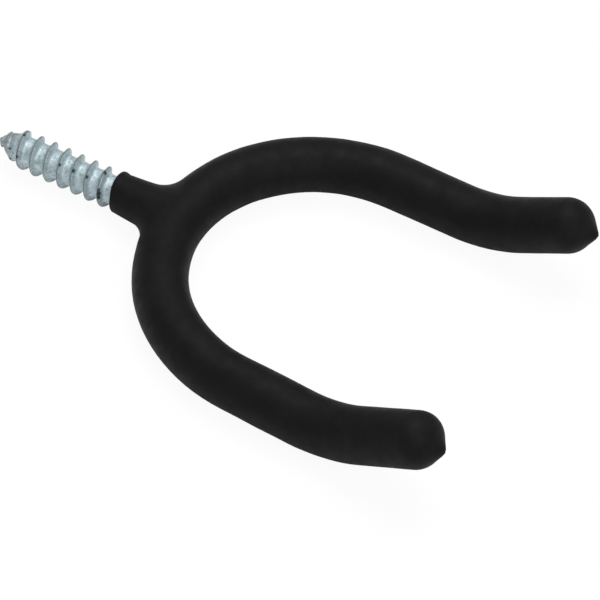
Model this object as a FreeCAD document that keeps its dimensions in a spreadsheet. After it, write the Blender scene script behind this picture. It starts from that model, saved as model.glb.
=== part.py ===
"""Screw-in utility hook: a U-shaped steel fork on a lag screw, dipped in vinyl.

Row frame, in millimetres: the origin is the middle of the coating's rim, where the wall comes,
+X runs out of the wall along the screw's axis, +Y is sideways and +Z is up, the way the tips rise.
The fork is drawn in a frame of its own, with its origin on the rod's centre line at the back of
the bowl, and is then placed on the screw with its small sideways offset and turn.
"""
import FreeCAD, Part
import os
from math import pi as PI
import Sketcher
from FreeCAD import Placement, Rotation, Vector

os.makedirs("parts", exist_ok=True)
doc = FreeCAD.newDocument("utility_hook")

# Driving dimensions, in millimetres and degrees
SIZES = {
    "rod_radius": 4.0,
    "bowl_radius": 30.7,
    "arm_spread_angle": 1.2,
    "arm_straight": 14.5,
    "tip_bend_radius": 26.2,
    "tip_rise_angle": 30.0,
    "left_tip": 14.65,
    "right_tip": 16.6,
    "rod_end_chamfer": 0.6,
    "neck_reach": 14.7,
    "stud_offset": 1.25,
    "fork_turn_angle": 1.3,
    "coat_wall": 1.5,
    "coat_end_wall": 1.5,
    "coat_end_round": 5.2,
    "collar_rim_radius": 3.95,
    "collar_foot_radius": 5.07,
    "collar_spare": 3.0,
    "rim_slant_angle": 7.5,
    "rim_side_angle": 38.0,
    "rim_round": 0.6,
    "neck_blend": 6.1,
    "drip_pitch_angle": 2.0,
    "drip_root_reach": 3.6,
    "drip_root_radius": 3.6,
    "drip_nose_radius": 0.85,
    "left_drip_reach": 6.55,
    "right_drip_reach": 6.3,
    "screw_length": 26.7,
    "crest_radius": 3.96,
    "root_radius": 2.8,
    "thread_pitch": 3.09,
    "thread_lead": 1.46,
    "thread_end": 0.577,
    "thread_depth_inside": 2.6,
    "crest_round": 0.22,
    "flank_angle": 28.0,
    "point_length": 4.7,
    "point_end_radius": 0.15,
    "nose_length": 5.0,
    "nose_radius": 3.75,
    "crest_taper_length": 10.0,
    "runout_length": 0.9,
    "root_sink": 0.3,
    "cut_spare": 4.0,
    "weld_leg": 1.8,
}

sheet = doc.addObject("Spreadsheet::Sheet", "sizes")
for row, (name, value) in enumerate(SIZES.items(), 1):
    sheet.set(f"A{row}", name)
    sheet.set(f"B{row}", str(value))
    sheet.setAlias(f"B{row}", name)
doc.recompute()

# Sizes worked out from the driving ones
COAT_RADIUS = "(sizes.rod_radius + sizes.coat_wall)"
BOWL_HALF_ANGLE = "(90 - sizes.arm_spread_angle)"
ARM_FOOT_X = "sizes.bowl_radius * (1 - sin(sizes.arm_spread_angle * 1 deg))"
ARM_FOOT_Y = "sizes.bowl_radius * cos(sizes.arm_spread_angle * 1 deg)"
SIDES = {1: "left", -1: "right"}
STEEL_TIP = {1: "sizes.left_tip", -1: "sizes.right_tip"}
COAT_TIP = {side: f"({steel} + sizes.coat_end_wall)" for side, steel in STEEL_TIP.items()}


def origin_plane(body, role):
    """The body's own origin plane with this role."""
    return next(item for item in body.Origin.OriginFeatures if item.Role == role)


def new_sketch(body, name, role, shift=(), turn=None):
    """A sketch on an origin plane of the body, moved by expressions in that plane's own axes."""
    made = body.newObject("Sketcher::SketchObject", name)
    made.AttachmentSupport = [(origin_plane(body, role), "")]
    made.MapMode = "FlatFace"
    if turn:
        axis, angle = turn
        made.AttachmentOffset = Placement(Vector(), Rotation(axis, 1.0))
        made.setExpression(".AttachmentOffset.Rotation.Angle", angle)
    for letter, expression in zip("xyz", shift):
        if expression:
            made.setExpression(f".AttachmentOffset.Base.{letter}", expression)
    return made


def size_constraint(made, name, expression, kind, *arguments):
    """A named constraint of a sketch, bound to an expression."""
    index = made.addConstraint(Sketcher.Constraint(kind, *arguments))
    made.renameConstraint(index, name)
    made.setExpression(f"Constraints.{name}", expression)


def circle_sketch(body, name, role, radius, shift=(), turn=None):
    """A circle about the sketch's origin."""
    made = new_sketch(body, name, role, shift, turn)
    made.addGeometry(Part.Circle(Vector(), Vector(0, 0, 1), 4.0), False)
    made.addConstraint(Sketcher.Constraint("Coincident", 0, 3, -1, 1))
    size_constraint(made, "radius", radius, "Radius", 0, 4.0)
    return made


def settled(feature):
    """Recompute the document and stop on a feature that failed."""
    doc.recompute()
    if feature.Shape.isNull() or "Invalid" in feature.State or "Error" in feature.State:
        raise RuntimeError(f"{feature.Name} could not be built")
    return feature


def edges_between(shape, first, second):
    """Names of the edges where a face that passes one test meets a face that passes the other."""
    names = []
    for number, edge in enumerate(shape.Edges, 1):
        faces = shape.ancestorsOfType(edge, Part.Face)
        if len(faces) == 2 and any(first(a) and second(b) for a, b in (faces, faces[::-1])):
            names.append(f"Edge{number}")
    return names


def is_cylinder(radius):
    """A test for cylindrical faces of this radius."""
    def test(face):
        return isinstance(face.Surface, Part.Cylinder) and abs(face.Surface.Radius - radius) < 1e-4
    return test


def is_cone(face):
    """A test for conical faces."""
    return isinstance(face.Surface, Part.Cone)


def is_torus(face):
    """A test for ring-shaped faces."""
    return isinstance(face.Surface, Part.Toroid)


def is_flat(face):
    """A test for flat faces."""
    return isinstance(face.Surface, Part.Plane)


def bowl(body, radius):
    """The U's round back: a circle swung about the bowl's centre."""
    section = circle_sketch(body, "bowl_section", "XZ_Plane", radius)
    section.addGeometry(Part.LineSegment(Vector(30, -5, 0), Vector(30, 5, 0)), True)
    section.addConstraint(Sketcher.Constraint("Vertical", 1))
    section.addConstraint(Sketcher.Constraint("DistanceY", 1, 1, -1, 1, 5.0))
    section.addConstraint(Sketcher.Constraint("DistanceY", -1, 1, 1, 2, 5.0))
    size_constraint(section, "bowl_radius", "sizes.bowl_radius", "DistanceX", -1, 1, 1, 1, 30.0)
    made = body.newObject("PartDesign::Revolution", "bowl")
    made.Profile = section
    made.ReferenceAxis = (section, ["Axis0"])
    made.Midplane = True
    made.setExpression("Angle", f"2 * {BOWL_HALF_ANGLE}")
    return settled(made)


def arm_plane(body, name, side):
    """A sketch in one arm's upright plane: its x runs along the arm, from the bowl's end."""
    return new_sketch(body, name, "XZ_Plane", (ARM_FOOT_X, "", f"{-side} * {ARM_FOOT_Y}"),
                      (Vector(0, side, 0), "sizes.arm_spread_angle"))


def arm(body, side, radius, tip_length):
    """An arm as a pipe: a straight, the bend upwards and the raised tip; side is 1 for +Y."""
    word = SIDES[side]
    route = arm_plane(body, f"{word}_arm_route", side)
    bend_circle = Part.Circle(Vector(15, 26, 0), Vector(0, 0, 1), 26.0)
    bend = Part.ArcOfCircle(bend_circle, 1.5 * PI, 1.5 * PI + PI / 6)
    tip_start = bend.EndPoint
    tip_end = tip_start + Vector(9, 5.2, 0)
    route.addGeometry(Part.LineSegment(Vector(), Vector(15, 0, 0)), False)
    route.addGeometry(bend, False)
    route.addGeometry(Part.LineSegment(tip_start, tip_end), False)
    route.addConstraint(Sketcher.Constraint("Coincident", 0, 1, -1, 1))
    route.addConstraint(Sketcher.Constraint("Horizontal", 0))
    route.addConstraint(Sketcher.Constraint("Tangent", 0, 2, 1, 1))
    route.addConstraint(Sketcher.Constraint("Tangent", 1, 2, 2, 1))
    size_constraint(route, "straight", "sizes.arm_straight", "Distance", 0, 15.0)
    size_constraint(route, "bend_radius", "sizes.tip_bend_radius", "Radius", 1, 26.0)
    size_constraint(route, "rise", "sizes.tip_rise_angle", "Angle", -1, 1, 2, 1, PI / 6)
    size_constraint(route, "tip", tip_length, "Distance", 2, 9.0)
    shift = (f"{side} * {ARM_FOOT_Y}", "", ARM_FOOT_X)
    section = circle_sketch(body, f"{word}_arm_section", "YZ_Plane", radius, shift,
                            (Vector(0, side, 0), "sizes.arm_spread_angle"))
    made = body.newObject("PartDesign::AdditivePipe", f"{word}_arm")
    made.Profile = section
    made.Spine = (route, ["Edge1", "Edge2", "Edge3"])
    return settled(made)


def rounded(body, name, feature, edges, size):
    """A fillet on named edges, with its radius bound to an expression."""
    made = body.newObject("PartDesign::Fillet", name)
    made.Base = (feature, edges)
    made.setExpression("Radius", size)
    body.Tip = made
    return settled(made)


def polygon(made, points):
    """Straight edges round a closed outline, joined corner to corner."""
    corners = [Vector(x, y, 0) for x, y in points]
    count = len(corners)
    for number in range(count):
        made.addGeometry(Part.LineSegment(corners[number], corners[(number + 1) % count]), False)
    for number in range(count):
        made.addConstraint(Sketcher.Constraint("Coincident", number, 2, (number + 1) % count, 1))


def corner_at(made, line, name, along, up):
    """Bind the first corner of a line to a place in the sketch, given as two expressions."""
    start = made.Geometry[line].StartPoint
    size_constraint(made, f"{name}_along", along, "DistanceX", -1, 1, line, 1, start.x)
    size_constraint(made, f"{name}_up", up, "DistanceY", -1, 1, line, 1, start.y)


def place_on_screw(item):
    """Put an object drawn in the fork's frame onto the screw, in the row frame."""
    item.Placement = Placement(Vector(), Rotation(Vector(0, 0, -1), 1.0))
    turn = "sizes.fork_turn_angle * 1 deg"
    item.setExpression(".Placement.Base.x", f"sizes.neck_reach + sizes.stud_offset * sin({turn})")
    item.setExpression(".Placement.Base.y", f"sizes.stud_offset * cos({turn})")
    item.setExpression(".Placement.Rotation.Angle", "sizes.fork_turn_angle")


def stud_cylinder(body, name, radius, spare):
    """A cylinder on the screw's axis, from before the coating's rim to the middle of the rod."""
    turn = "sizes.fork_turn_angle * 1 deg"
    length = f"(sizes.neck_reach + {spare})"
    shift = (f"-sizes.stud_offset - {length} * sin({turn})", "", f"-{length} * cos({turn})")
    section = circle_sketch(body, f"{name}_section", "YZ_Plane", radius, shift,
                            (Vector(0, 1, 0), "sizes.fork_turn_angle"))
    made = body.newObject("PartDesign::Pad", name)
    made.Profile = section
    made.setExpression("Length", length)
    return settled(made)


def fork_rod():
    """The steel rod, bent to a U with raised tips, its sheared ends chamfered."""
    body = doc.addObject("PartDesign::Body", "fork_rod")
    place_on_screw(body)
    bowl(body, "sizes.rod_radius")
    for side in SIDES:
        both = arm(body, side, "sizes.rod_radius", STEEL_TIP[side])
    ends = edges_between(both.Shape, is_cylinder(SIZES["rod_radius"]), is_flat)
    made = body.newObject("PartDesign::Chamfer", "sheared_ends")
    made.Base = (both, ends)
    made.setExpression("Size", "sizes.rod_end_chamfer")
    body.Tip = made
    settled(made)
    return body


def thread_section(body):
    """The ridge of the thread: sloped flanks under a round crest, and a root inside the core."""
    made = new_sketch(body, "thread_section", "XY_Plane",
                      ("-sizes.screw_length - sizes.thread_lead",))
    crest = SIZES["crest_radius"]
    root = SIZES["root_radius"]
    foot = root - SIZES["thread_depth_inside"]
    made.addGeometry(Part.LineSegment(Vector(0.8, foot, 0), Vector(0.8, root, 0)), False)
    made.addGeometry(Part.LineSegment(Vector(0.8, root, 0), Vector(0.2, crest - 0.1, 0)), False)
    round_centre = Vector(0, crest - 0.22, 0)
    round_circle = Part.Circle(round_centre, Vector(0, 0, 1), 0.22)
    made.addGeometry(Part.ArcOfCircle(round_circle, 0.5, PI - 0.5), False)
    made.addGeometry(Part.LineSegment(Vector(-0.2, crest - 0.1, 0), Vector(-0.8, root, 0)), False)
    made.addGeometry(Part.LineSegment(Vector(-0.8, root, 0), Vector(-0.8, foot, 0)), False)
    made.addGeometry(Part.LineSegment(Vector(-0.8, foot, 0), Vector(0.8, foot, 0)), False)
    made.addConstraint(Sketcher.Constraint("Coincident", 0, 2, 1, 1))
    made.addConstraint(Sketcher.Constraint("Tangent", 1, 2, 2, 1))
    made.addConstraint(Sketcher.Constraint("Tangent", 2, 2, 3, 1))
    made.addConstraint(Sketcher.Constraint("Coincident", 3, 2, 4, 1))
    made.addConstraint(Sketcher.Constraint("Coincident", 4, 2, 5, 1))
    made.addConstraint(Sketcher.Constraint("Coincident", 5, 2, 0, 1))
    made.addConstraint(Sketcher.Constraint("Vertical", 0))
    made.addConstraint(Sketcher.Constraint("Symmetric", 0, 1, 4, 2, -2))
    made.addConstraint(Sketcher.Constraint("Symmetric", 1, 1, 3, 2, -2))
    made.addConstraint(Sketcher.Constraint("PointOnObject", 2, 3, -2))
    size_constraint(made, "crest_round", "sizes.crest_round", "Radius", 2, 0.22)
    size_constraint(made, "crest_centre", "sizes.crest_radius - sizes.crest_round",
                    "DistanceY", -1, 1, 2, 3, crest - 0.22)
    size_constraint(made, "root", "sizes.root_radius", "DistanceY", -1, 1, 1, 1, root)
    size_constraint(made, "foot", "sizes.root_radius - sizes.thread_depth_inside",
                    "DistanceY", -1, 1, 0, 1, foot)
    size_constraint(made, "flank", "90 + sizes.flank_angle", "Angle", -1, 1, 1, 1, 2.06)
    return made


def nose_cut(body):
    """What is turned off the ridge round the point, so that the crests run down to its end."""
    made = new_sketch(body, "nose_cut_section", "XZ_Plane", ("-sizes.screw_length",))
    points = [(-4, 0), (0, 0), (0, 0.15), (5, 3.7), (11, 4.0), (11, 6), (-4, 6)]
    polygon(made, points)
    made.addConstraint(Sketcher.Constraint("PointOnObject", 0, 1, -1))
    made.addConstraint(Sketcher.Constraint("Coincident", 1, 1, -1, 1))
    made.addConstraint(Sketcher.Constraint("Vertical", 1))
    made.addConstraint(Sketcher.Constraint("Vertical", 4))
    made.addConstraint(Sketcher.Constraint("Horizontal", 5))
    made.addConstraint(Sketcher.Constraint("Vertical", 6))
    size_constraint(made, "spare", "sizes.cut_spare", "DistanceX", 0, 1, -1, 1, 4)
    size_constraint(made, "end_up", "sizes.point_end_radius", "DistanceY", -1, 1, 2, 1, 0.15)
    corner_at(made, 3, "nose", "sizes.nose_length", "sizes.nose_radius")
    corner_at(made, 4, "full", "sizes.crest_taper_length", "sizes.crest_radius + sizes.crest_round / 4")
    size_constraint(made, "top_up", "sizes.crest_radius + sizes.cut_spare", "DistanceY", -1, 1, 6, 1, 6)
    return made


def runout_cut(body):
    """What is turned off the ridge beside the rim, so that it fades out against the plain shank."""
    made = new_sketch(body, "runout_cut_section", "XZ_Plane")
    polygon(made, [(-0.9, 4.5), (0.2, 2.4), (4, 2.4), (4, 4.5)])
    made.addConstraint(Sketcher.Constraint("Horizontal", 1))
    made.addConstraint(Sketcher.Constraint("Vertical", 2))
    made.addConstraint(Sketcher.Constraint("Horizontal", 3))
    corner_at(made, 0, "outer", "-sizes.runout_length", "sizes.crest_radius + sizes.root_sink")
    corner_at(made, 1, "inner", "sizes.root_sink", "sizes.root_radius - sizes.root_sink")
    size_constraint(made, "spare", "sizes.cut_spare", "DistanceX", -1, 1, 2, 2, 4)
    return made


def turned_off(body, name, section):
    """A groove about the screw's axis."""
    made = body.newObject("PartDesign::Groove", name)
    made.Profile = section
    made.ReferenceAxis = (origin_plane(body, "X_Axis"), [""])
    made.Angle = 360.0
    before = made.BaseFeature.Shape.Volume
    settled(made)
    if not 0 < made.Shape.Volume < before:
        raise RuntimeError(f"{name} takes nothing off")
    return made


def screw_core(body):
    """The screw's core: a gimlet point, then a plain cylinder to the middle of the rod."""
    section = new_sketch(body, "core_section", "XZ_Plane")
    polygon(section, [(-26, 0), (-26, 0.15), (-22, 2.8), (14, 2.8), (14, 0)])
    section.addConstraint(Sketcher.Constraint("PointOnObject", 0, 1, -1))
    section.addConstraint(Sketcher.Constraint("Vertical", 0))
    section.addConstraint(Sketcher.Constraint("Horizontal", 2))
    section.addConstraint(Sketcher.Constraint("Vertical", 3))
    section.addConstraint(Sketcher.Constraint("PointOnObject", 4, 1, -1))
    corner_at(section, 1, "end", "-sizes.screw_length", "sizes.point_end_radius")
    corner_at(section, 2, "shoulder", "sizes.point_length - sizes.screw_length", "sizes.root_radius")
    size_constraint(section, "reach", "sizes.neck_reach", "DistanceX", -1, 1, 4, 1, 14)
    made = body.newObject("PartDesign::Revolution", "core")
    made.Profile = section
    made.ReferenceAxis = (origin_plane(body, "X_Axis"), [""])
    made.Angle = 360.0
    body.Tip = made
    return settled(made)


def lag_screw(rod):
    """The lag screw: a core with a gimlet point, a helical ridge and a plain end coped on the rod."""
    body = doc.addObject("PartDesign::Body", "screw_form")
    ridge = body.newObject("PartDesign::AdditiveHelix", "ridge")
    ridge.Profile = thread_section(body)
    ridge.ReferenceAxis = (origin_plane(body, "X_Axis"), [""])
    ridge.Mode = "pitch-turns-angle"
    ridge.setExpression("Pitch", "sizes.thread_pitch")
    ridge.setExpression("Turns", "(sizes.screw_length + sizes.thread_lead + sizes.thread_end)"
                        " / sizes.thread_pitch")
    settled(ridge)
    turned_off(body, "nose", nose_cut(body))
    turned_off(body, "runout", runout_cut(body))
    screw_core(body)
    return cut("lag_screw", body, rod)


def cut(label, base, tool):
    """The base less the tool."""
    made = doc.addObject("Part::Cut", label)
    made.Base = base
    made.Tool = tool
    return settled(made)


def weld_form():
    """The shank and the rod's back as one, with the weld's round fillet between them."""
    body = doc.addObject("PartDesign::Body", "weld_form")
    place_on_screw(body)
    bowl(body, "sizes.rod_radius")
    both = stud_cylinder(body, "shank", "sizes.root_radius", "sizes.collar_spare")
    seam = edges_between(both.Shape, is_cylinder(SIZES["root_radius"]), is_torus)
    rounded(body, "weld_fillet", both, seam, "sizes.weld_leg")
    return body


def bare_shank():
    """The same shank by itself."""
    body = doc.addObject("PartDesign::Body", "bare_shank")
    place_on_screw(body)
    body.Tip = stud_cylinder(body, "bare_stud", "sizes.root_radius", "sizes.collar_spare")
    return body


def bare_back():
    """The rod's back by itself."""
    body = doc.addObject("PartDesign::Body", "bare_back")
    place_on_screw(body)
    body.Tip = bowl(body, "sizes.rod_radius")
    return body


def collar(body):
    """The coating's sleeve on the screw: a cone that widens from before the rim to the rod."""
    made = new_sketch(body, "collar_section", "XY_Plane", ("", "-sizes.stud_offset"),
                      (Vector(0, 0, 1), "sizes.fork_turn_angle"))
    polygon(made, [(-17, 0), (-17, 3.6), (0, 5), (0, 0)])
    made.addConstraint(Sketcher.Constraint("PointOnObject", 0, 1, -1))
    made.addConstraint(Sketcher.Constraint("Vertical", 0))
    made.addConstraint(Sketcher.Constraint("PointOnObject", 2, 1, -2))
    made.addConstraint(Sketcher.Constraint("Coincident", 3, 1, -1, 1))
    widening = "(sizes.collar_foot_radius - sizes.collar_rim_radius) / sizes.neck_reach"
    corner_at(made, 1, "start", "-sizes.neck_reach - sizes.collar_spare",
              f"sizes.collar_rim_radius - sizes.collar_spare * {widening}")
    size_constraint(made, "foot_up", "sizes.collar_foot_radius", "DistanceY", -1, 1, 2, 1, 5)
    sleeve = body.newObject("PartDesign::Revolution", "collar")
    sleeve.Profile = made
    sleeve.ReferenceAxis = (made, ["H_Axis"])
    sleeve.Angle = 360.0
    body.Tip = sleeve
    return settled(sleeve)


def rim_cut(body):
    """The slanted edge of the coating's collar: everything beyond the rim, on the screw's side."""
    turn = "sizes.fork_turn_angle * 1 deg"
    shift = (f"-sizes.neck_reach * cos({turn})",
             f"-sizes.stud_offset - sizes.neck_reach * sin({turn})", "")
    made = new_sketch(body, "rim_section", "XY_Plane", shift, (Vector(1, 0, 0), "sizes.rim_side_angle"))
    polygon(made, [(-1, 6), (1, -6), (-9, -6), (-9, 6)])
    half = "(sizes.collar_rim_radius + sizes.collar_spare)"
    lean = f"{half} * tan(sizes.rim_slant_angle * 1 deg)"
    made.addConstraint(Sketcher.Constraint("Horizontal", 1))
    made.addConstraint(Sketcher.Constraint("Vertical", 2))
    corner_at(made, 0, "far", f"-{lean}", half)
    corner_at(made, 1, "near", lean, f"-{half}")
    corner_at(made, 3, "back", "-2 * sizes.collar_spare", half)
    pocket = body.newObject("PartDesign::Pocket", "rim")
    pocket.Profile = made
    pocket.Midplane = True
    pocket.Type = "Length"
    pocket.setExpression("Length", f"2 * {half}")
    before = pocket.BaseFeature.Shape.Volume
    settled(pocket)
    if not 0 < pocket.Shape.Volume < before:
        raise RuntimeError("the rim is not cut")
    return pocket


def drip(body, side):
    """The drip of vinyl on one tip: a blunt cone from the round end, level as it hung in the dip."""
    word = SIDES[side]
    section = arm_plane(body, f"{word}_drip_section", side)
    rise = "sizes.tip_rise_angle * 1 deg"
    pitch = "sizes.drip_pitch_angle * 1 deg"
    centre = f"({COAT_TIP[side]} - sizes.coat_end_round)"
    along = f"sizes.arm_straight + sizes.tip_bend_radius * sin({rise}) + {centre} * cos({rise})"
    up = f"sizes.tip_bend_radius * (1 - cos({rise})) + {centre} * sin({rise})"
    start = Vector(42, 12, 0)
    nose_circle = Part.Circle(start + Vector(1.9, 0, 0), Vector(0, 0, 1), 0.85)
    section.addGeometry(Part.LineSegment(start, start + Vector(0, 3.4, 0)), False)
    section.addGeometry(Part.LineSegment(start + Vector(0, 3.4, 0), start + Vector(2.5, 0.6, 0)), False)
    section.addGeometry(Part.ArcOfCircle(nose_circle, 0, PI / 4), False)
    section.addGeometry(Part.LineSegment(start + Vector(2.75, 0, 0), start), False)
    section.addConstraint(Sketcher.Constraint("Coincident", 0, 2, 1, 1))
    section.addConstraint(Sketcher.Constraint("Tangent", 1, 2, 2, 2))
    section.addConstraint(Sketcher.Constraint("Coincident", 2, 1, 3, 1))
    section.addConstraint(Sketcher.Constraint("Coincident", 3, 2, 0, 1))
    section.addConstraint(Sketcher.Constraint("Perpendicular", 0, 3))
    section.addConstraint(Sketcher.Constraint("PointOnObject", 2, 3, 3))
    size_constraint(section, "pitch", "sizes.drip_pitch_angle", "Angle", -1, 1, 3, 2, 0.06)
    size_constraint(section, "root", "sizes.drip_root_radius", "Distance", 0, 3.4)
    size_constraint(section, "nose", "sizes.drip_nose_radius", "Radius", 2, 0.85)
    size_constraint(section, "length", f"sizes.{word}_drip_reach - sizes.drip_root_reach",
                    "Distance", 0, 1, 2, 1, 2.75)
    corner_at(section, 0, "root_middle", f"{along} + sizes.drip_root_reach * cos({pitch})",
              f"{up} + sizes.drip_root_reach * sin({pitch})")
    made = body.newObject("PartDesign::Revolution", f"{word}_drip")
    made.Profile = section
    made.ReferenceAxis = (section, ["Edge4"])
    made.Angle = 360.0
    body.Tip = made
    return settled(made)


def vinyl_coating(rod, screw, weld):
    """The dipped skin: its outer form, with a collar, a blended neck and drips, less the steel."""
    body = doc.addObject("PartDesign::Body", "coating_form")
    place_on_screw(body)
    bowl(body, COAT_RADIUS)
    for side in SIDES:
        both = arm(body, side, COAT_RADIUS, COAT_TIP[side])
    coat_radius = SIZES["rod_radius"] + SIZES["coat_wall"]
    ends = edges_between(both.Shape, is_cylinder(coat_radius), is_flat)
    rounded(body, "dipped_ends", both, ends, "sizes.coat_end_round")
    collar(body)
    trimmed = rim_cut(body)
    neck = edges_between(trimmed.Shape, is_cone, is_torus)
    blended = rounded(body, "neck", trimmed, neck, "sizes.neck_blend")
    rim = edges_between(blended.Shape, is_cone, is_flat)
    rounded(body, "rim_edge", blended, rim, "sizes.rim_round")
    for side in SIDES:
        drip(body, side)
    hollow = cut("rod_hollow", cut("screw_hollow", body, screw), rod)
    return cut("vinyl_coating", hollow, weld)


rod = fork_rod()
screw = lag_screw(rod)
weld = cut("weld_bead", cut("weld_and_back", weld_form(), bare_shank()), bare_back())
coating = vinyl_coating(rod, screw, weld)

NODES = {"fork_rod": rod, "lag_screw": screw, "weld_bead": weld, "vinyl_coating": coating}
for name, item in NODES.items():
    item.Label = name
    shape = item.Shape
    if shape.isNull() or not shape.isValid() or len(shape.Solids) != 1:
        raise RuntimeError(f"{name} is not one valid solid")
    shape.exportStep(f"parts/{name}.step")

for item in doc.Objects:
    if "Invalid" in item.State or "Error" in item.State:
        raise RuntimeError(f"{item.Name} did not build")
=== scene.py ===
"""Looks of a screw-in utility hook: dipped black vinyl over a bent rod, on a zinc-plated lag screw.

Places are in metres in the row frame: the origin is the middle of the coating's rim, +X runs out
of the wall along the screw's axis, +Y is sideways and +Z is up, the way the tips rise. Named
lengths are in mm and named angles in degrees, unless a comment says metres. An angle about the
screw runs from +Y to +Z.
"""

from math import cos, radians, sin

import bmesh
import bpy
import numpy as np
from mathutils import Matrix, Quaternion, Vector, noise
from mathutils.bvhtree import BVHTree


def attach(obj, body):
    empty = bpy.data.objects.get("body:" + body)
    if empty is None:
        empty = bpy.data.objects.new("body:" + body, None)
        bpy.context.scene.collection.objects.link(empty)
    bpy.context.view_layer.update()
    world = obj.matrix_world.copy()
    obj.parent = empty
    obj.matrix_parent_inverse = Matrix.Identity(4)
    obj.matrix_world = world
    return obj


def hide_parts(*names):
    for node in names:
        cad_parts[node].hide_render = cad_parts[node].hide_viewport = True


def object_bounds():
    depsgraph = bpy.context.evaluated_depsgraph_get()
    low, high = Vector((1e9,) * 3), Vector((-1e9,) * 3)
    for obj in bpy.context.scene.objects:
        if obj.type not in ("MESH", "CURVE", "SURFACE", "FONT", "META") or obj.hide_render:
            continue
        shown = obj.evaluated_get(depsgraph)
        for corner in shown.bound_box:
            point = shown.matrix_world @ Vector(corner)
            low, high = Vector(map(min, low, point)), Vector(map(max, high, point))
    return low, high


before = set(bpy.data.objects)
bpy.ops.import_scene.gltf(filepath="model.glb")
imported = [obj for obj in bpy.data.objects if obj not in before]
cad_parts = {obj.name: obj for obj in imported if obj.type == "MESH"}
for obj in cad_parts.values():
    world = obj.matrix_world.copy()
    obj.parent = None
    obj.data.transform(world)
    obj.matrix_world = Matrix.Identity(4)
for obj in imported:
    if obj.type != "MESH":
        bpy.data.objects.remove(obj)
cad_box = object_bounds()
scene = bpy.context.scene

MM = 0.001

# Camera: where it stands, the point it looks at, its turn about the view, its lens and sensor, and,
# in metres, the nearest and farthest that it sees
CAMERA_PLACE = Vector((255.857, -437.967, 553.229)) * MM
CAMERA_AIM = Vector((44.49, -5.59, 0.0)) * MM
CAMERA_ROLL = 4.299
CAMERA_LENS = 229.83
CAMERA_SENSOR = 36.0
CAMERA_NEAR = 0.05
CAMERA_FAR = 20.0

# Studio, in metres and watts: the point that the lamps look at, the two softboxes, the floor, the
# share of it that the camera sees as plain white, and the strength of the world's light
OBJECT_MIDDLE = (0.03, 0.0, 0.0)
BOX_SIZE = 0.6
KEY_PLACE = (-0.02, 0.22, 0.86)
KEY_POWER = 5.2
FILL_PLACE = (0.60, -0.40, 0.60)
FILL_POWER = 2.8
FLOOR_PLACE = (0.03, 0.0, cad_box[0].z)
FLOOR_SIZE = 3.0
FLOOR_FILL = 0.93
WORLD_LIGHT = 0.55

# Smoothing: the share of the way that a place is drawn to its neighbours' middle, and how much of
# that it is then pushed back
DRAW_SHARE = 0.5
PUSH_BACK = 1.03

# Seams of the CAD meshes: vertices nearer to each other than this become one
SEAM_GAP = 0.001

# Coating: the size of its even quads, its rounds of smoothing, and the height and size of each kind
# of wave in its skin
VINYL_GRAIN = 0.42
VINYL_ROUNDS = 4
VINYL_WAVES = [(0.10, 13.0), (0.030, 4.2), (0.010, 1.4)]

# How far from the steel the waves start and are full, and from where on the skin counts as outer
WAVES_FROM = 0.15
WAVES_FULL = 0.9
OUTER_FROM = 0.2

# The waves stop this far above the plane that the hook lies on
FLOOR_GAP = 0.01

# The bead on the coating's rim: its height, where its middle is along the screw, how far it
# reaches to each side, and the angle about the screw where it is highest
BEAD_HEIGHT = 0.34
BEAD_MIDDLE = 0.40
BEAD_REACH = 1.05
BEAD_ANGLE = 62.0

# The rim's uneven line: how far it stands back from the CAD form's, how much that changes round
# the screw, the angle where it is most, and how far it reaches into the coating
RIM_BACK = 0.10
RIM_CHANGE = 0.30
RIM_ANGLE = 160.0
RIM_REACH = 3.5

# Tips: how steeply they rise, the direction that gives, where they begin along +X, where along that
# direction their smoothing starts and is full, and its rounds
TIP_RISE = 30.0
TIP_WAY = np.array((cos(radians(TIP_RISE)), 0.0, sin(radians(TIP_RISE))))
TIP_START = 60.0
TIP_SMOOTH_FROM = 70.0
TIP_SMOOTH_FULL = 74.0
TIP_ROUNDS = 6

# Skin drawn tight over the drips: the length of each tip that it covers, how far it fades in, how
# much of the hollow between cap and drip it fills, how far behind the skin the rays that look for
# the tight form start, and how far they reach
TIGHT_LENGTH = 9.0
TIGHT_FADE = 2.0
TIGHT_SHARE = 0.92
RAY_BACK = 0.02
RAY_REACH = 1.5

# The drips' noses: how far they are lifted, how far that reaches, how far their rounding reaches,
# and its rounds
NOSE_LIFT = 0.32
NOSE_REACH = 3.5
NOSE_ROUND = 1.0
NOSE_ROUNDS = 6

# The tips' ends: where they start and are full along +X, how much the left one's upper side sinks,
# and how much fuller the right one's shoulder is, with the way that it faces and how narrow it is
END_FROM = 70.0
END_FULL = 84.0
LEFT_SINK = 0.24
SHOULDER_RISE = 0.28
SHOULDER_WAY = np.array((0.335, 0.800, 0.498))
SHOULDER_POWER = 4

# The coating is thin over the rod's sheared ends: how far its hollow is drawn back there while the
# quads are laid out, how far before the rod's end that starts and is full, and how near to the
# steel the hollow lies
HOLLOW_BACK = 0.9
HOLLOW_FROM = 2.2
HOLLOW_FULL = 0.5
HOLLOW_GAP = 0.02

# Screw: the size of its even quads, its rounds of smoothing, those that soften its sharp roots, and
# the share of the roots' softening that is kept
ZINC_GRAIN = 0.15
ZINC_ROUNDS = 7
ROOT_ROUNDS = 26
ROOT_FILL = 0.9

# Where the screw goes into the coating, along +X: its smoothing, roots and dents fade out there
COVER_FROM = -0.4
COVER_FULL = 0.1

# Dents all over and nicks on the crests: height and size of each
DENT = (0.035, 2.2)
NICK = (0.030, 0.8)

# Radii where the nicks, the rubbed zinc and the painted shade on the crest's land start and are full, and
# the crest's own
NICKED = (3.3, 3.9)
RUBBED = (3.1, 3.86)
SHADED_LAND_RADII = (3.4, 3.8)
CREST_RADIUS = 3.96

# The crest's land gets painted shade, for the shade on its side away from the light, but not where it faces
# the coating: how much its normal points along -X where the painted shade starts and is full
PAINTED_SHADE_FACING = (-0.85, -0.25)

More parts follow.
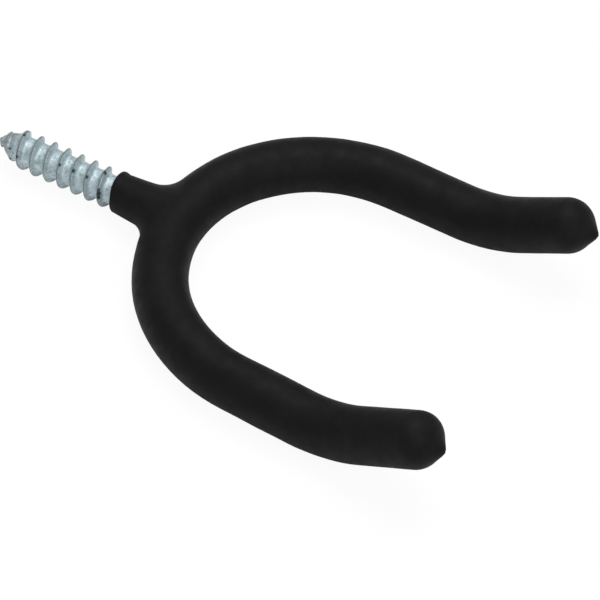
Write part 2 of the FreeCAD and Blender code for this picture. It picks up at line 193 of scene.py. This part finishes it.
# The stained point: how far before the rim it starts and is full, how strong the stain is, how much
# that changes, and the size of its mottles
POINT_FROM = 22.0
POINT_FULL = 24.2
STAIN = 0.62
STAIN_CHANGE = 0.5
STAIN_SIZE = 1.3

# The last crest on the point: how far it has crept to the end, the angle about the screw and the
# length before the rim where that is strongest, how far it reaches to each side, how much prouder
# the crest is there, and the radii where that starts and is full
CREEP = 0.85
CREEP_ANGLE = 65.0
CREEP_MIDDLE = 23.7
CREEP_REACH = 2.6
CREEP_RISE = 0.25
CREEP_FROM = 1.0
CREEP_FULL = 1.8

# The blunt end: the share by which it is thicker, and how far before the rim that starts and is full
BLUNT = 0.6
BLUNT_FROM = 25.1
BLUNT_FULL = 25.8

# Bare spots on the thread: place along the axis, angle about it, and radius
BARE_SPOTS = [
    (-2.35, 89.0, 0.50),
    (-1.85, 146.0, 0.45),
    (-1.60, 158.0, 0.60),
    (-1.40, 170.0, 0.55),
    (-5.05, 125.0, 0.38),
    (-8.05, 125.0, 0.45),
    (-11.30, 126.0, 0.38),
    (-20.60, 158.0, 0.35),
    (-21.30, 85.0, 0.40),
    (-23.10, 148.0, 0.42),
    (-23.80, -153.0, 0.50),
    (-6.70, -60.0, 0.45),
    (-12.90, -95.0, 0.50),
    (-16.10, 10.0, 0.40),
]

# The spots' edges: how ragged they are, the size of that, and the shares of the radius where a spot
# is full and where it ends
SPOT_RAGGED = 0.22
SPOT_GRAIN = 0.5
SPOT_EDGE = (0.55, 1.25)

# Colours
VINYL_DARK = (0.0034, 0.0034, 0.0036)
VINYL_LIGHT = (0.0056, 0.0056, 0.0059)
VINYL_DUST = (0.0094, 0.0094, 0.0097)
ZINC_BLUE = (0.47, 0.55, 0.59)
ZINC_GREEN = (0.43, 0.53, 0.54)
ZINC_PALE = (0.66, 0.75, 0.80)
ZINC_DULL = (0.20, 0.27, 0.30)
ZINC_RUBBED = (0.42, 0.41, 0.41)
# Painted shade on the crest's land, and also the colour of the stain on the point
ZINC_PAINTED_SHADE_AND_STAIN = (0.150, 0.190, 0.200)
STEEL_BARE = (0.030, 0.050, 0.054)
STEEL_DARK = (0.30, 0.30, 0.31)
STEEL_LIGHT = (0.47, 0.46, 0.45)
FLOOR_PALE = (0.90, 0.90, 0.90, 1.0)
WHITE = (1.0, 1.0, 1.0, 1.0)


# Meshes

def merged_copy(node):
    """The mesh of a CAD node with its seams closed."""
    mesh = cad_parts[node].data.copy()
    form = bmesh.new()
    form.from_mesh(mesh)
    bmesh.ops.remove_doubles(form, verts=form.verts, dist=SEAM_GAP * MM)
    form.to_mesh(mesh)
    form.free()
    mesh.materials.clear()
    return mesh


def even_quads(name, mesh, size):
    """A new piece with even quads that follow a mesh's surface."""
    piece = bpy.data.objects.new(name, mesh)
    scene.collection.objects.link(piece)
    remesh = piece.modifiers.new("even", "REMESH")
    remesh.mode = "VOXEL"
    remesh.voxel_size = size * MM
    remesh.adaptivity = 0.0
    bpy.context.view_layer.update()
    made = bpy.data.meshes.new_from_object(piece.evaluated_get(bpy.context.evaluated_depsgraph_get()))
    piece.modifiers.clear()
    piece.data = made
    bpy.data.meshes.remove(mesh)
    return piece


def coordinates(mesh):
    """The places of a mesh's vertices as rows."""
    flat = np.zeros(len(mesh.vertices) * 3, np.float32)
    mesh.vertices.foreach_get("co", flat)
    return flat.reshape(-1, 3).astype(float)


def put(mesh, places):
    """Set the places of a mesh's vertices."""
    mesh.vertices.foreach_set("co", places.astype(np.float32).ravel())
    mesh.update()


def normals(mesh):
    """The directions of a mesh's vertices."""
    flat = np.zeros(len(mesh.vertices) * 3, np.float32)
    mesh.vertex_normals.foreach_get("vector", flat)
    return flat.reshape(-1, 3).astype(float)


def surface_of(*nodes):
    """The search tree of the triangles of some CAD nodes."""
    points, faces = [], []
    for node in nodes:
        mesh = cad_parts[node].data
        start = len(points)
        points += [tuple(v.co) for v in mesh.vertices]
        faces += [tuple(start + i for i in p.vertices) for p in mesh.polygons]
    return BVHTree.FromPolygons(points, faces)


def onto(places, tree):
    """Each place moved to the nearest point of a surface."""
    return np.array([tree.find_nearest(Vector(p))[0] for p in places])


def distance_to(places, tree):
    """How far each place is from a surface."""
    return np.array([tree.find_nearest(Vector(p))[3] for p in places])


def smoothed(mesh, places, rounds, part=1.0, back=PUSH_BACK):
    """Places drawn towards the middle of their neighbours, then pushed back so that nothing shrinks.

    part, from 0 to 1, says how much of this each place takes. With back 0 nothing is pushed back.
    """
    edges = np.zeros(len(mesh.edges) * 2, np.int32)
    mesh.edges.foreach_get("vertices", edges)
    edges = edges.reshape(-1, 2)
    count = np.bincount(edges.ravel(), minlength=len(places))[:, None]
    share = DRAW_SHARE * np.broadcast_to(np.asarray(part, float).reshape(-1, 1), (len(places), 1))

    def drawn(now, way):
        total = np.zeros_like(now)
        for axis in range(3):
            total[:, axis] = np.bincount(edges[:, 0], now[edges[:, 1], axis], len(now))
            total[:, axis] += np.bincount(edges[:, 1], now[edges[:, 0], axis], len(now))
        return now + way * (total / count - now)

    for _ in range(rounds):
        places = drawn(places, share)
        places = drawn(places, -back * share)
    return places


def unevenness(places, size, seed):
    """Smooth noise from -1 to 1 at each place, with features of this size in mm."""
    shift = Vector((seed * 7.13, seed * 3.71, seed * 11.9))
    scale = 1 / (size * MM)
    return np.array([noise.noise(Vector(p) * scale + shift) for p in places])


def step_between(values, low, high):
    """A smooth rise from 0 at low to 1 at high."""
    part = np.clip((values - low) / (high - low), 0, 1)
    return part * part * (3 - 2 * part)


def smooth_shaded(piece):
    """Shade a piece's faces as one smooth surface."""
    piece.data.polygons.foreach_set("use_smooth", [True] * len(piece.data.polygons))


def cosine_about_screw(places, angle):
    """The cosine of how far each place is turned about the screw from this angle."""
    return np.cos(np.arctan2(places[:, 2], places[:, 1]) - radians(angle))


# Coating

def along_tips(places):
    """How far each place is along the tips' direction, in mm."""
    return (places[:, 0] * TIP_WAY[0] + places[:, 2] * TIP_WAY[2]) / MM


def foremost(places, chosen):
    """The chosen place that is farthest along +X."""
    return places[chosen[places[chosen, 0].argmax()]]


def roomy_coating(steel):
    """The coating's mesh with the rod's hollow ends drawn back, so that no wall is thinner than a quad."""
    mesh = merged_copy("vinyl_coating")
    places = coordinates(mesh)
    rod_places = coordinates(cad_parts["fork_rod"].data)
    touching = distance_to(places, steel) < HOLLOW_GAP * MM
    for side in (1, -1):
        rod_end = along_tips(rod_places[rod_places[:, 1] * side > 0]).max()
        back = step_between(along_tips(places), rod_end - HOLLOW_FROM, rod_end - HOLLOW_FULL)
        back *= touching & (places[:, 1] * side > 0)
        places -= np.outer(back, HOLLOW_BACK * TIP_WAY) * MM
    put(mesh, places)
    return mesh


def hull_of(points):
    """The search tree of the convex skin round some points."""
    form = bmesh.new()
    for point in points:
        form.verts.new(point)
    bmesh.ops.convex_hull(form, input=form.verts)
    bmesh.ops.recalc_face_normals(form, faces=form.faces)
    tree = BVHTree.FromBMesh(form)
    form.free()
    return tree


def drawn_tight(mesh, places, outer):
    """The tips with the skin drawn tight from the round end to the drip, as the vinyl ran."""
    put(mesh, places)
    ways = normals(mesh)
    moved = places.copy()
    along = along_tips(places)
    for side in (1, -1):
        arm = outer & (places[:, 1] * side > 0)
        start = along[arm].max() - TIGHT_LENGTH
        chosen = np.flatnonzero(arm & (along > start))
        away = np.linalg.norm(places - foremost(places, chosen), axis=1)
        near = 1 - step_between(away, 0, NOSE_REACH * MM)
        places = places + np.outer(near * arm, (0, 0, NOSE_LIFT * MM))
        hull = hull_of(places[chosen])
        share = TIGHT_SHARE * step_between(along, start, start + TIGHT_FADE)
        for i in chosen:
            at = Vector(places[i])
            way = Vector(ways[i])
            hit = hull.ray_cast(at - way * RAY_BACK * MM, way, RAY_REACH * MM)[0]
            if hit:
                moved[i] = places[i] + share[i] * (np.array(hit) - places[i])
    return moved


def at_noses(places, outer):
    """From 0 to 1: how near each place is to the nose of its drip."""
    near = np.zeros(len(places))
    for side in (1, -1):
        arm = np.flatnonzero(outer & (places[:, 1] * side > 0))
        away = np.linalg.norm(places - foremost(places, arm), axis=1)
        near = np.maximum(near, 1 - step_between(away, 0, NOSE_ROUND * MM))
    return near * outer


def uneven_ends(mesh, places, outer):
    """The left tip with its upper side a little sunk, and the right one with a fuller shoulder."""
    ways = normals(mesh)
    moved = places.copy()
    end = step_between(places[:, 0] / MM, END_FROM, END_FULL) * outer
    moved[:, 2] -= LEFT_SINK * end * np.clip(ways[:, 2], 0, 1) * (places[:, 1] > 0) * MM
    shoulder = SHOULDER_RISE * end * np.clip(ways @ SHOULDER_WAY, 0, 1) ** SHOULDER_POWER
    return moved + ways * (shoulder * (places[:, 1] < 0) * MM)[:, None]


def rim_line(places):
    """How far each place near the rim stands back along +X, in mm."""
    near = 1 - step_between(places[:, 0] / MM, 0.0, RIM_REACH)
    return near * (RIM_BACK + RIM_CHANGE * cosine_about_screw(places, RIM_ANGLE))


def rim_bead(places):
    """From 0 to 1: where the vinyl has drawn up into a bead, round the upper part of the rim."""
    along = 1 - np.clip(np.abs(places[:, 0] / MM - BEAD_MIDDLE) / BEAD_REACH, 0, 1) ** 2
    around = 0.5 + 0.5 * cosine_about_screw(places, BEAD_ANGLE)
    return along ** 2 * around ** 2


def dipped_vinyl():
    """The coating: the CAD form in even quads, with the slight waves of a dipped skin."""
    steel = surface_of("fork_rod", "lag_screw")
    piece = even_quads("dipped_vinyl", roomy_coating(steel), VINYL_GRAIN)
    mesh = piece.data
    places = onto(coordinates(mesh), surface_of("vinyl_coating"))
    places = smoothed(mesh, places, VINYL_ROUNDS)
    depth = distance_to(places, steel)
    outside = step_between(depth, WAVES_FROM * MM, WAVES_FULL * MM)
    outer = depth > OUTER_FROM * MM
    places = drawn_tight(mesh, places, outer & (places[:, 0] > TIP_START * MM))
    at_tips = step_between(along_tips(places), TIP_SMOOTH_FROM, TIP_SMOOTH_FULL) * outer
    places = smoothed(mesh, places, TIP_ROUNDS, at_tips)
    places = smoothed(mesh, places, NOSE_ROUNDS, at_noses(places, outer), 0.0)
    put(mesh, places)
    places = uneven_ends(mesh, places, outer)
    places[:, 0] += rim_line(places) * MM
    put(mesh, places)
    waves = sum(rise * unevenness(places, size, seed) for seed, (rise, size) in enumerate(VINYL_WAVES, 1))
    height = waves + BEAD_HEIGHT * rim_bead(places)
    places = places + normals(mesh) * (height * outside * MM)[:, None]
    places[:, 2] = np.maximum(places[:, 2], cad_box[0].z + FLOOR_GAP * MM)
    put(mesh, places)
    smooth_shaded(piece)
    return piece


# Screw

def plated_screw():
    """The screw: the CAD form in even quads, with rolled, slightly beaten crests and soft roots."""
    piece = even_quads("zinc_lag_screw", merged_copy("lag_screw"), ZINC_GRAIN)
    mesh = piece.data
    tree = surface_of("lag_screw")
    places = onto(coordinates(mesh), tree)
    bare = 1 - step_between(places[:, 0] / MM, COVER_FROM, COVER_FULL)
    places = smoothed(mesh, places, ZINC_ROUNDS, bare)
    put(mesh, places)
    places = soft_roots(mesh, places, bare)
    put(mesh, places)
    radius = np.hypot(places[:, 1], places[:, 2]) / MM
    dents = DENT[0] * unevenness(places, DENT[1], 5)
    nicks = NICK[0] * step_between(radius, *NICKED) * unevenness(places, NICK[1], 6)
    places = places + normals(mesh) * ((dents + nicks) * bare * MM)[:, None]
    places = crept(places)
    paint_wear_and_shade(mesh, places, radius)
    paint(mesh, "bare_spot", spots(places, tree))
    put(mesh, places)
    smooth_shaded(piece)
    return piece


def soft_roots(mesh, places, bare):
    """The thread with its sharp roots filled: smoothed places count only where they lie farther out."""
    ways = normals(mesh)
    soft = smoothed(mesh, places, ROOT_ROUNDS, back=0.0)
    fill = np.clip(((soft - places) * ways).sum(axis=1), 0, None) * ROOT_FILL * bare
    return places + ways * fill[:, None]


def crept(places):
    """The point's last crest, moved towards the end and a little prouder, and the end blunt."""
    before_rim = -places[:, 0] / MM
    part = 1 - step_between(np.abs(before_rim - CREEP_MIDDLE), 0.0, CREEP_REACH)
    part *= 0.5 + 0.5 * cosine_about_screw(places, CREEP_ANGLE)
    radius = np.hypot(places[:, 1], places[:, 2]) / MM
    rise = CREEP_RISE * part * step_between(radius, CREEP_FROM, CREEP_FULL)
    proud = 1 + rise / np.maximum(radius, CREEP_FROM)
    blunt = 1 + BLUNT * step_between(before_rim, BLUNT_FROM, BLUNT_FULL)
    moved = places.copy()
    moved[:, 0] -= CREEP * part * MM
    moved[:, 1:] *= (proud * blunt)[:, None]
    return moved


def paint(mesh, name, values):
    """Keep a value at each vertex, for the material."""
    layer = mesh.attributes.new(name, "FLOAT", "POINT")
    layer.data.foreach_set("value", values.astype(np.float32))


def paint_wear_and_shade(mesh, places, radius):
    """Keep for the material where the zinc is rubbed, where the point is stained, and where shade is
    painted.

    ridge is the rubbed upper half of the thread, and the point. The darkening value is painted shade on the
    crest's land, for the shade on its side away from the light, apart from what faces the coating, together
    with the stained point.
    """
    # Painted shade: the crest's land is darkened where it faces away from the coating, as if the light left
    # it in shade
    land_shade = step_between(radius, *SHADED_LAND_RADII) * step_between(-normals(mesh)[:, 0], *PAINTED_SHADE_FACING)
    point = step_between(-places[:, 0] / MM, POINT_FROM, POINT_FULL)
    stained = np.clip(STAIN + STAIN_CHANGE * unevenness(places, STAIN_SIZE, 7), 0, 1)
    paint(mesh, "painted_shade_and_stain", np.maximum(land_shade, point * stained))
    paint(mesh, "ridge", np.maximum(step_between(radius, *RUBBED), point))


def spots(places, tree):
    """From 0 to 1: the bare spots on the thread, where the plating didn't take."""
    ragged = SPOT_RAGGED * unevenness(places, SPOT_GRAIN, 8)
    value = np.zeros(len(places))
    for along, angle, size in BARE_SPOTS:
        beside = Vector((along, CREST_RADIUS * cos(radians(angle)), CREST_RADIUS * sin(radians(angle)))) * MM
        middle = np.array(tree.find_nearest(beside)[0])
        away = np.linalg.norm(places - middle, axis=1) / (size * MM) + ragged
        value = np.maximum(value, 1 - step_between(away, *SPOT_EDGE))
    return value


# Materials

class Nodes:
    """A material's nodes, made one after another."""

    def __init__(self, name):
        self.material = bpy.data.materials.new(name)
        self.material.use_nodes = True
        self.tree = self.material.node_tree
        self.shader = self.tree.nodes["Principled BSDF"]
        self.place = self.add("ShaderNodeTexCoord").outputs["Object"]

    def add(self, kind, **settings):
        """A new node with these settings."""
        node = self.tree.nodes.new(kind)
        for name, value in settings.items():
            setattr(node, name, value)
        return node

    def link(self, start, end):
        """A link from an output to an input."""
        self.tree.links.new(start, end)

    def kept(self, name):
        """The value that the mesh keeps under this name."""
        return self.add("ShaderNodeAttribute", attribute_name=name).outputs["Fac"]

    def noise(self, size, detail=4.0, rough=0.55, stretch=None):
        """Noise with features of this size in mm."""
        node = self.add("ShaderNodeTexNoise")
        node.inputs["Scale"].default_value = 1 / (size * MM)
        node.inputs["Detail"].default_value = detail
        node.inputs["Roughness"].default_value = rough
        if stretch:
            mapping = self.add("ShaderNodeMapping")
            mapping.inputs["Scale"].default_value = stretch
            self.link(self.place, mapping.inputs["Vector"])
            self.link(mapping.outputs["Vector"], node.inputs["Vector"])
        else:
            self.link(self.place, node.inputs["Vector"])
        return node.outputs["Fac"]

    def range(self, value, low, high, to_low, to_high):
        """A value carried from one range to another."""
        node = self.add("ShaderNodeMapRange")
        node.inputs["From Min"].default_value = low
        node.inputs["From Max"].default_value = high
        node.inputs["To Min"].default_value = to_low
        node.inputs["To Max"].default_value = to_high
        self.link(value, node.inputs["Value"])
        return node.outputs["Result"]

    def mix(self, share, first, second):
        """Two colours mixed by a value; each is a colour or an output."""
        node = self.add("ShaderNodeMix", data_type="RGBA")
        self.link(share, node.inputs["Factor"])
        for socket, colour in (("A", first), ("B", second)):
            spot = next(i for i in node.inputs if i.name == socket and i.type == "RGBA")
            if isinstance(colour, tuple):
                spot.default_value = (*colour, 1.0)
            else:
                self.link(colour, spot)
        return next(o for o in node.outputs if o.type == "RGBA")

    def bump(self, value, depth, strength, under=None):
        """A bump of this depth in mm, over another one."""
        node = self.add("ShaderNodeBump")
        node.inputs["Distance"].default_value = depth * MM
        node.inputs["Strength"].default_value = strength
        self.link(value, node.inputs["Height"])
        if under:
            self.link(under, node.inputs["Normal"])
        return node.outputs["Normal"]


def vinyl_material():
    """Matt black vinyl: faintly mottled, with a fine orange peel."""
    made = Nodes("black_vinyl")
    mottles = made.range(made.noise(5.0, detail=5.0, rough=0.6), 0.35, 0.65, 0.0, 1.0)
    mottled = made.mix(mottles, VINYL_DARK, VINYL_LIGHT)
    dust = made.range(made.noise(0.9, detail=3.0, rough=0.7), 0.55, 0.80, 0.0, 0.4)
    made.link(made.mix(dust, mottled, VINYL_DUST), made.shader.inputs["Base Color"])
    made.link(made.range(made.noise(2.4, detail=3.0), 0.3, 0.7, 0.52, 0.66), made.shader.inputs["Roughness"])
    made.shader.inputs["Specular IOR Level"].default_value = 0.10
    coarse = made.bump(made.noise(1.1, detail=2.0, rough=0.5), 0.05, 0.45)
    fine = made.bump(made.noise(0.28, detail=3.0, rough=0.6), 0.02, 0.6, coarse)
    made.link(fine, made.shader.inputs["Normal"])
    return made.material


def zinc_material():
    """Bright zinc over steel: bluish, unevenly dull, worn on the crests, with painted shade on the crests'
    land, stained at the point, dark where it is bare.
    """
    made = Nodes("zinc_plated_steel")
    tints = made.range(made.noise(3.2, detail=3.0, rough=0.6), 0.35, 0.65, 0.0, 1.0)
    colour = made.mix(tints, ZINC_BLUE, ZINC_GREEN)
    pale = made.range(made.noise(0.9, rough=0.7), 0.48, 0.66, 0.0, 0.8)
    colour = made.mix(pale, colour, ZINC_PALE)
    dull = made.range(made.noise(0.6, rough=0.7), 0.52, 0.66, 0.0, 0.75)
    colour = made.mix(dull, colour, ZINC_DULL)
    # The second of these mixes paints shade on the crest's land, together with the stain on the point
    for name, strength, worn in (("ridge", 0.30, ZINC_RUBBED),
                                 ("painted_shade_and_stain", 0.80, ZINC_PAINTED_SHADE_AND_STAIN),
                                 ("bare_spot", 0.92, STEEL_BARE)):
        colour = made.mix(made.range(made.kept(name), 0.0, 1.0, 0.0, strength), colour, worn)
    made.link(colour, made.shader.inputs["Base Color"])
    made.shader.inputs["Metallic"].default_value = 1.0
    made.link(made.range(made.noise(0.8, rough=0.6), 0.3, 0.7, 0.56, 0.74), made.shader.inputs["Roughness"])
    coarse = made.bump(made.noise(0.7, detail=3.0, rough=0.6), 0.05, 0.5)
    marks = made.noise(0.18, detail=3.0, rough=0.6, stretch=(0.35, 1.0, 1.0))
    made.link(made.bump(marks, 0.015, 0.5, coarse), made.shader.inputs["Normal"])
    return made.material


def steel_material():
    """Plain mill-finish steel, under the coating: scaly grey with fine marks."""
    made = Nodes("bare_steel")
    scale = made.range(made.noise(2.5, detail=5.0, rough=0.65), 0.35, 0.65, 0.0, 1.0)
    made.link(made.mix(scale, STEEL_DARK, STEEL_LIGHT), made.shader.inputs["Base Color"])
    made.shader.inputs["Metallic"].default_value = 1.0
    made.link(made.range(made.noise(0.6), 0.3, 0.7, 0.35, 0.55), made.shader.inputs["Roughness"])
    made.link(made.bump(made.noise(0.3, rough=0.6), 0.02, 0.5), made.shader.inputs["Normal"])
    return made.material


def blend(tree, share, first, second, output):
    """Mix two shaders by a value and send them to an output."""
    mix = tree.nodes.new("ShaderNodeMixShader")
    tree.links.new(share, mix.inputs["Fac"])
    tree.links.new(first, mix.inputs[1])
    tree.links.new(second, mix.inputs[2])
    tree.links.new(mix.outputs[0], tree.nodes.new(output).inputs["Surface"])


def light(tree, kind, strength):
    """White light of this strength, as an emission or a background."""
    node = tree.nodes.new(kind)
    node.inputs["Color"].default_value = WHITE
    node.inputs["Strength"].default_value = strength
    return node.outputs[0]


def floor_material():
    """A pale floor that looks white to the camera and keeps the object's shadow."""
    material = bpy.data.materials.new("floor")
    material.use_nodes = True
    tree = material.node_tree
    tree.nodes.clear()
    matt = tree.nodes.new("ShaderNodeBsdfDiffuse")
    matt.inputs["Color"].default_value = FLOOR_PALE
    share = tree.nodes.new("ShaderNodeMath")
    share.operation = "MULTIPLY"
    share.inputs[1].default_value = FLOOR_FILL
    path = tree.nodes.new("ShaderNodeLightPath")
    tree.links.new(path.outputs["Is Camera Ray"], share.inputs[0])
    glow = light(tree, "ShaderNodeEmission", 1.0)
    blend(tree, share.outputs[0], matt.outputs[0], glow, "ShaderNodeOutputMaterial")
    return material


# Pieces

vinyl = dipped_vinyl()
vinyl.data.materials.append(vinyl_material())
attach(vinyl, "root")
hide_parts("vinyl_coating")

screw = plated_screw()
screw.data.materials.append(zinc_material())
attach(screw, "root")
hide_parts("lag_screw")

steel = steel_material()
for node in ("fork_rod", "weld_bead"):
    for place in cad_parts[node].material_slots:
        place.material = steel


# Floor, lights and camera

floor_mesh = bpy.data.meshes.new("floor")
form = bmesh.new()
bmesh.ops.create_grid(form, x_segments=1, y_segments=1, size=FLOOR_SIZE)
form.to_mesh(floor_mesh)
form.free()
floor = bpy.data.objects.new("floor", floor_mesh)
floor.location = FLOOR_PLACE
scene.collection.objects.link(floor)
floor.data.materials.append(floor_material())


def softbox(name, place, power):
    """A square lamp that looks at the object."""
    lamp = bpy.data.lights.new(name, "AREA")
    lamp.shape = "SQUARE"
    lamp.size = BOX_SIZE
    lamp.energy = power
    thing = bpy.data.objects.new(name, lamp)
    thing.location = place
    thing.rotation_mode = "QUATERNION"
    thing.rotation_quaternion = (Vector(OBJECT_MIDDLE) - Vector(place)).to_track_quat("-Z", "Y")
    scene.collection.objects.link(thing)


softbox("key", KEY_PLACE, KEY_POWER)
softbox("fill", FILL_PLACE, FILL_POWER)

world = bpy.data.worlds.new("studio")
scene.world = world
world.use_nodes = True
world.node_tree.nodes.clear()
world_path = world.node_tree.nodes.new("ShaderNodeLightPath")
blend(world.node_tree, world_path.outputs["Is Camera Ray"],
      light(world.node_tree, "ShaderNodeBackground", WORLD_LIGHT),
      light(world.node_tree, "ShaderNodeBackground", 1.0), "ShaderNodeOutputWorld")

camera_data = bpy.data.cameras.new("camera")
camera_data.sensor_width = CAMERA_SENSOR
camera_data.lens = CAMERA_LENS
camera_data.clip_start = CAMERA_NEAR
camera_data.clip_end = CAMERA_FAR
camera = bpy.data.objects.new("camera", camera_data)
camera.location = CAMERA_PLACE
camera.rotation_mode = "QUATERNION"
view = (CAMERA_AIM - CAMERA_PLACE).to_track_quat("-Z", "Y")
camera.rotation_quaternion = view @ Quaternion((0.0, 0.0, 1.0), radians(CAMERA_ROLL))
scene.collection.objects.link(camera)
scene.camera = camera
scene.view_settings.view_transform = "Standard"
